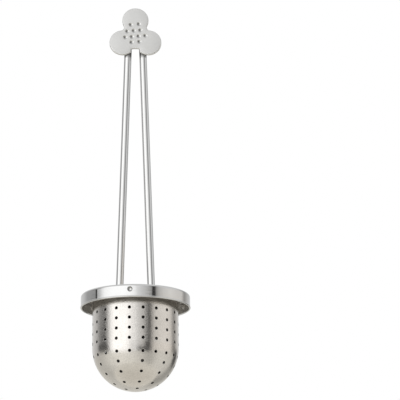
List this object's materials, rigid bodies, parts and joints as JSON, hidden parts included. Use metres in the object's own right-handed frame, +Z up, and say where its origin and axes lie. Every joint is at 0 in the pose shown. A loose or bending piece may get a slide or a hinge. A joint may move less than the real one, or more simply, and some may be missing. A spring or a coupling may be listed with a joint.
{
  "type": "tea infuser",
  "caption": "Mug tea infuser: perforated steel strainer cup that locks into a shallow pan lid on a handle of two slim rods with a flower-shaped tag.",
  "frame": {"origin": "middle of the flower tag, in the plane of the two rods and on the axis of the lid and strainer: the place where a finger and thumb, or a hook under the tag, hold the infuser", "axes": "+Z up along the axis of the lid and strainer, towards the tag; -Y out of the dotted front face of the tag; +X to the right seen from the front"},
  "size_m": [0.05, 0.05, 0.1832],
  "materials": {
    "tag_steel": "satin",
    "rod_steel": "polished",
    "lid_steel": "polished",
    "strainer_steel": "satin"
  },
  "bodies": {
    "handle_and_lid": {"tag": "tag_steel", "rod_left": "rod_steel", "rod_right": "rod_steel", "lid": "lid_steel"},
    "strainer_cup": {"strainer": "strainer_steel"}
  },
  "joints": [
    {"name": "strainer_drop", "type": "slide", "parent": "handle_and_lid", "child": "strainer_cup", "axis": [0, 0, -1], "range_m": [0, 0.06]}
  ]
}
